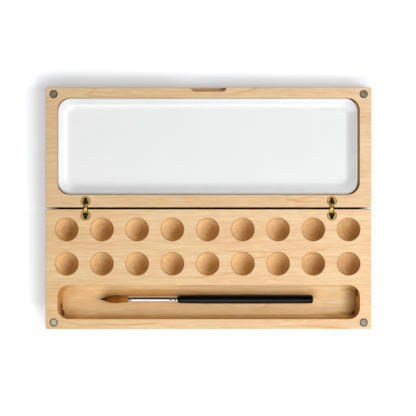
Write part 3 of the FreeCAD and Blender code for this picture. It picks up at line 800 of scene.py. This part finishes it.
# single hairs over the tuft, each a thin curve from the ferrule to its own end near the tip
def makeStrands(material):
    rng = random.Random(hair["seed"])
    data = bpy.data.curves.new("brush_strands", "CURVE")
    data.dimensions = "3D"
    data.bevel_depth = brush["strandRadius"]
    data.bevel_resolution = 0
    data.resolution_u = 2
    mouthX, mouthY, mouthZ = brush["mouth"]
    for number in range(brush["strands"]):
        angle = rng.uniform(0, math.tau)
        reach = rng.uniform(0.80, 0.985) if number % 5 else rng.uniform(0.95, 0.997)
        drift = rng.uniform(-0.16, 0.16)
        depth = rng.uniform(0.955, 1.0)
        spline = data.splines.new("NURBS")
        spline.points.add(len(hair["strandStops"]) - 1)
        for point, stop in zip(spline.points, hair["strandStops"]):
            share = stop * reach
            radius = max(tuftRadius(share) * depth - brush["strandRadius"], 0.00003)
            turn = angle + drift * stop
            x = mouthX - brush["hairLength"] * share - 0.0001
            point.co = (x, mouthY + radius * math.cos(turn), mouthZ + radius * math.sin(turn), 1)
            point.radius = 1.0 - 0.75 * stop
        spline.order_u = 3
        spline.use_endpoint_u = True
    data.materials.append(material)
    strands = bpy.data.objects.new("brush_strands", data)
    bpy.context.scene.collection.objects.link(strands)
    return strands


def makeHair():
    material = finishHair()
    long = brush["hairLength"]
    deep, thick = hair["plug"]
    outline = [(deep, 0.0), (deep, thick), (0.0, thick)]
    outline += [(-long * share, tuftRadius(share) * 0.97) for share in hair["tuftShares"]]
    outline += [(-long * hair["tuftEnd"], 0.0)]
    tuft = turnedPiece("brush_tuft", outline, 48, material, "brush", "brush_hair")
    strands = makeStrands(material)
    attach(strands, "brush")


ferrule = {
    "bright": (0.88, 0.88, 0.89),
    "scratched": (0.70, 0.70, 0.71),
    "under": (0.40, 0.24, 0.10),        # painted shade and painted reflection of dark wood on its lower front side
    "underFrom": (-0.0021, -0.0026),
    "dullFrom": (-0.0018, -0.0010),
    "roughness": (0.07, 0.15),
    "bump": (0.00001, 0.3),
    "wall": 0.00035,
    # middle, height and half width of the raised ring and of the two crimps
    "rings": ((0.0026, 0.00042, 0.0009), (0.042408, -0.00058, 0.0013), (0.046872, -0.00058, 0.0013)),
    "ringShape": (
        (-1.0, 0.0), (-0.72, 0.12), (-0.42, 0.6), (-0.18, 0.94), (0.0, 1.0),
        (0.18, 0.94), (0.42, 0.6), (0.72, 0.12), (1.0, 0.0)),
}


def makeFerrule():
    material, tree, shader = newFinish("brightFerrule")
    scratch = grain(tree, (900, 120, 120), 3.0, 0.6)
    scratched = band(tree, scratch, 0.4, 0.8, 0.0, 0.5)
    colour = blendColour(tree, scratched, ferrule["bright"], ferrule["scratched"])
    # painted shade and reflection: darker, browner and less metallic on the lower front side
    across = less(tree, places(tree)["y"], brush["mouth"][1])
    under = band(tree, across, *ferrule["underFrom"])
    feed(tree, shader.inputs["Base Color"], tinted(tree, under, colour, ferrule["under"]))
    shine = sums(tree, "MAXIMUM", band(tree, across, *ferrule["dullFrom"], 0.25, 1.0), under)
    feed(tree, shader.inputs["Metallic"], shine)
    feed(tree, shader.inputs["Roughness"], band(tree, scratch, 0.3, 0.7, *ferrule["roughness"]))
    bump(tree, shader, scratch, *ferrule["bump"])
    long, neck, wide, wall = brush["ferruleLength"], brush["neck"], brush["wide"], ferrule["wall"]
    outline = [(0.0001, neck - wall), (0.0, neck - 0.00012), (0.00012, neck)]
    for middle, lift, half in ferrule["rings"]:
        for share, height in ferrule["ringShape"]:
            x = middle + half * share
            outline.append((x, neck + (wide - neck) * x / long + lift * height))
    outline += [(long - 0.0001, wide), (long, wide - 0.0001), (long, wide - wall)]
    tube = turnedPiece("brush_ferrule_tube", outline, 64, material, "brush", "brush_ferrule")


handle = {
    "black": (0.0015, 0.0015, 0.0018),
    "smeared": (0.003, 0.003, 0.0035),
    "roughness": (0.13, 0.20),
    "specular": 0.34,
    "bump": (0.00004, 0.25),
    # distance from the ferrule and radius
    "shoulder": (
        (-0.0005, 0.0), (-0.0005, 0.0024), (0.00002, 0.0026), (0.0001, 0.0033),
        (0.0006, 0.00375), (0.0018, 0.00408), (0.004, 0.00425)),
    # share of the length and share of the full radius
    "body": ((0.10, 0.96522), (0.18, 1.0), (0.40, 1.0), (0.60, 1.0)),
    # distance from the end and share of the full radius
    "end": (
        (0.0030, 0.955), (0.0017, 0.925), (0.0009, 0.86), (0.0004, 0.76),
        (0.0001, 0.60), (0.0, 0.36), (0.0, 0.0)),
    "taper": (0.0125, 0.972),
    "rings": (0.0118, 0.0082, 0.0046),      # faint turned rings near the end
    "ringShape": ((0.0, 0.965), (0.0002, 0.948), (0.0005, 0.948), (0.0007, 0.962)),
}


def makeHandle():
    material, tree, shader = newFinish("blackLacquer")
    smear = grain(tree, (60, 220, 220), 3.0, 0.6)
    colour = blendColour(tree, band(tree, smear, 0.4, 0.8), handle["black"], handle["smeared"])
    feed(tree, shader.inputs["Base Color"], colour)
    feed(tree, shader.inputs["Roughness"], band(tree, smear, 0.3, 0.75, *handle["roughness"]))
    shader.inputs["Specular IOR Level"].default_value = handle["specular"]
    bump(tree, shader, grain(tree, even(700), 2.0, 0.5), *handle["bump"])
    start, long, full = brush["ferruleLength"], brush["handleLength"], brush["handleRadius"]
    end = start + long
    outline = [(start + x, radius) for x, radius in handle["shoulder"]]
    outline += [(start + long * share, full * size) for share, size in handle["body"]]
    outline.append((end - handle["taper"][0], full * handle["taper"][1]))
    for ring in handle["rings"]:
        outline += [(end - ring + x, full * size) for x, size in handle["ringShape"]]
    outline += [(end - x, full * size) for x, size in handle["end"]]
    piece = turnedPiece("brush_handle_lacquered", outline, 72, material, "brush", "brush_handle")


makeHair()
makeFerrule()
makeHandle()
print("brush made")

bpy.context.scene.view_settings.view_transform = "Standard"
